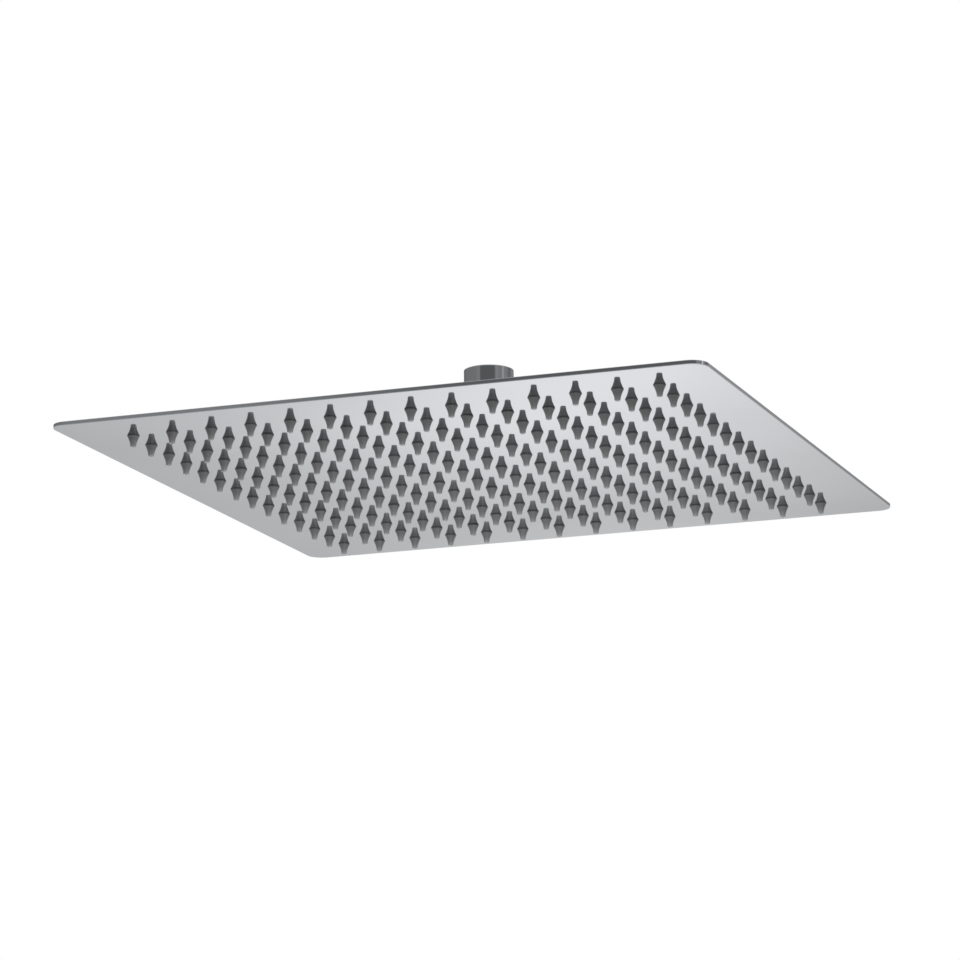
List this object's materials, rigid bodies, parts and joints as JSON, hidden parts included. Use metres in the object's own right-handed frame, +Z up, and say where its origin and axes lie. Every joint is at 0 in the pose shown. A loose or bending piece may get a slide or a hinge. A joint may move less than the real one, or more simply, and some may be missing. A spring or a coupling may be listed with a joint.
{
  "type": "shower head",
  "caption": "Thin square rain shower head: polished plate with a grid of soft nozzles, hung from a ball joint with a female pipe thread.",
  "frame": {"origin": "centre of the inlet's mouth, on the pipe thread's axis", "axes": "+Z up along the pipe thread, out of the inlet; X and Y along the plate's sides"},
  "size_m": [0.4, 0.4, 0.0717],
  "materials": {
    "polished_steel": "mirror-polished",
    "chrome_plate": "polished",
    "turned_steel": "turned",
    "grey_silicone": "matte",
    "black_rubber": "matte",
    "white_plastic": "matte"
  },
  "bodies": {
    "inlet": {"inlet_body": "chrome_plate", "ring_nut": "chrome_plate", "filter_screen": "turned_steel", "inlet_washer": "black_rubber"},
    "upper_ring": {"upper_seat": "white_plastic", "seal_ring": "black_rubber"},
    "lower_ring": {"lower_seat": "white_plastic"},
    "head": {"face_plate": "polished_steel", "back_plate": "polished_steel", "nozzles": "grey_silicone", "boss": "turned_steel", "ball_stud": "chrome_plate", "stud_washer": "black_rubber"}
  },
  "joints": [
    {"name": "swivel", "type": "hinge", "parent": "inlet", "child": "upper_ring", "pos_m": [0, 0, -0.02977], "axis": [0, 0, 1], "continuous": true},
    {"name": "tilt_x", "type": "hinge", "parent": "upper_ring", "child": "lower_ring", "pos_m": [0, 0, -0.02977], "axis": [1, 0, 0], "range_deg": [-15, 15]},
    {"name": "tilt_y", "type": "hinge", "parent": "lower_ring", "child": "head", "pos_m": [0, 0, -0.02977], "axis": [0, 1, 0], "range_deg": [-15, 15]}
  ]
}
